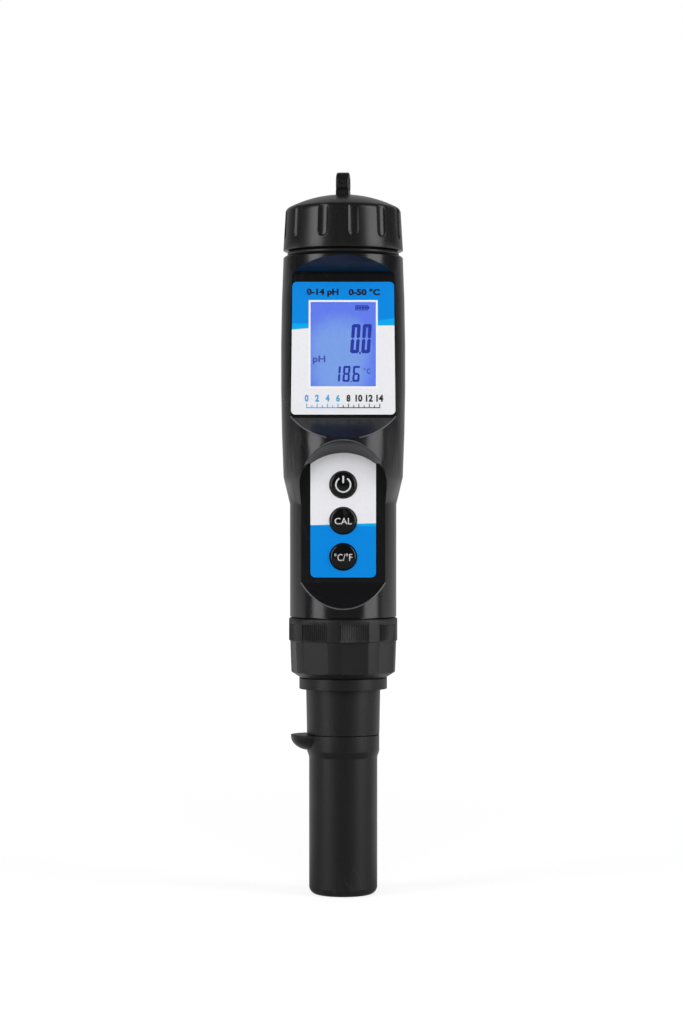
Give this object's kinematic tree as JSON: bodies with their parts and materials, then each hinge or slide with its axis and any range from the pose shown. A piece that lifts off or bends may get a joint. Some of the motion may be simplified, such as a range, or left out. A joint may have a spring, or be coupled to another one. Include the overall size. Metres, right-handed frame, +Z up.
{
  "type": "digital pH meter",
  "caption": "Pen-shaped waterproof digital pH meter with a blue display, three round keys, screw-on electrode, pull-off electrode cap and screw-on battery cap with lanyard loop.",
  "frame": {"origin": "centre of the foot of the electrode cap, where the upright meter stands", "axes": "+Z up along the pen, display and keys face -Y, +X to the viewer's right"},
  "size_m": [0.0354, 0.0351, 0.2054],
  "materials": {
    "cover": "satin",
    "sponge": "open cell",
    "electrode": "satin",
    "collar": "satin",
    "pins": "plated",
    "oring": "matte",
    "potting": "cast",
    "glass": "clear",
    "silver_wire": "plain",
    "sensor_steel": "plain",
    "junction": "porous",
    "nut": "satin",
    "handle": "gloss",
    "display_print": "printed film",
    "keypad_print": "printed film",
    "lens": "clear",
    "lcd": "display",
    "light_guide": "diffuse",
    "tray": "plain",
    "elastic": "matte",
    "button": "gloss",
    "switch": "plain",
    "board": "solder mask",
    "component": "plain",
    "crystal": "plain",
    "socket": "plain",
    "holder": "plain",
    "contact": "plated",
    "cell": "plain",
    "battery_cap": "satin"
  },
  "bodies": {
    "handle": {"housing": "handle", "display_label": "display_print", "keypad_label": "keypad_print", "display_window": "lens", "lcd_panel": "lcd", "backlight_panel": "light_guide", "lcd_frame": "tray", "contact_strip_low": "elastic", "contact_strip_high": "elastic", "power_switch": "switch", "cal_switch": "switch", "unit_switch": "switch", "circuit_board": "board", "controller_chip": "component", "clock_crystal": "crystal", "socket_header": "component", "electrode_socket": "socket", "battery_holder": "holder", "cell_contact_left": "contact", "cell_contact_right": "contact", "button_cell_left_low": "cell", "button_cell_left_high": "cell", "button_cell_right_low": "cell", "button_cell_right_high": "cell", "cap_seal": "oring"},
    "electrode": {"electrode_body": "electrode", "electrode_collar": "collar", "plug_pin_1": "pins", "plug_pin_2": "pins", "plug_pin_3": "pins", "plug_pin_4": "pins", "clamp_gasket": "oring", "tip_potting": "potting", "glass_bulb": "glass", "inner_electrode": "silver_wire", "temperature_sensor": "sensor_steel", "reference_junction": "junction"},
    "union_nut": {"coupling_nut": "nut"},
    "electrode_cap": {"protective_cap": "cover", "storage_sponge": "sponge"},
    "cap_contacts": {"cap_contact_plate": "contact", "plate_rivet": "contact"},
    "cell_cap": {"battery_cap": "battery_cap"},
    "key_power": {"power_button": "button"},
    "key_cal": {"cal_button": "button"},
    "key_unit": {"unit_button": "button"}
  },
  "joints": [
    {"name": "electrode_lift", "type": "slide", "parent": "handle", "child": "electrode", "axis": [0, 0, -1], "range_m": [0, 0.0045]},
    {"name": "union_nut_turn", "type": "hinge", "parent": "electrode", "child": "union_nut", "pos_m": [0, 0, 0.07], "axis": [0, 0, -1], "range_deg": [0, 1081]},
    {"name": "electrode_cap_pull", "type": "slide", "parent": "electrode", "child": "electrode_cap", "axis": [0, 0, -1], "range_m": [0, 0.045]},
    {"name": "cap_contact_lift", "type": "slide", "parent": "handle", "child": "cap_contacts", "axis": [0, 0, 1], "range_m": [0, 0.0045]},
    {"name": "battery_cap_turn", "type": "hinge", "parent": "cap_contacts", "child": "cell_cap", "pos_m": [0, 0, 0.19], "axis": [0, 0, 1], "range_deg": [0, 1081]},
    {"name": "power_press", "type": "slide", "parent": "handle", "child": "key_power", "axis": [0, 1, 0], "range_m": [0, 0.0005], "stiffness_N_per_m": 800, "springref_m": -0.0005},
    {"name": "cal_press", "type": "slide", "parent": "handle", "child": "key_cal", "axis": [0, 1, 0], "range_m": [0, 0.0005], "stiffness_N_per_m": 800, "springref_m": -0.0005},
    {"name": "unit_press", "type": "slide", "parent": "handle", "child": "key_unit", "axis": [0, 1, 0], "range_m": [0, 0.0005], "stiffness_N_per_m": 800, "springref_m": -0.0005}
  ],
  "couplings": [
    {"joint": "union_nut_turn", "follows": "electrode_lift", "rad_per_m": 4188.8},
    {"joint": "battery_cap_turn", "follows": "cap_contact_lift", "rad_per_m": 4188.8}
  ]
}
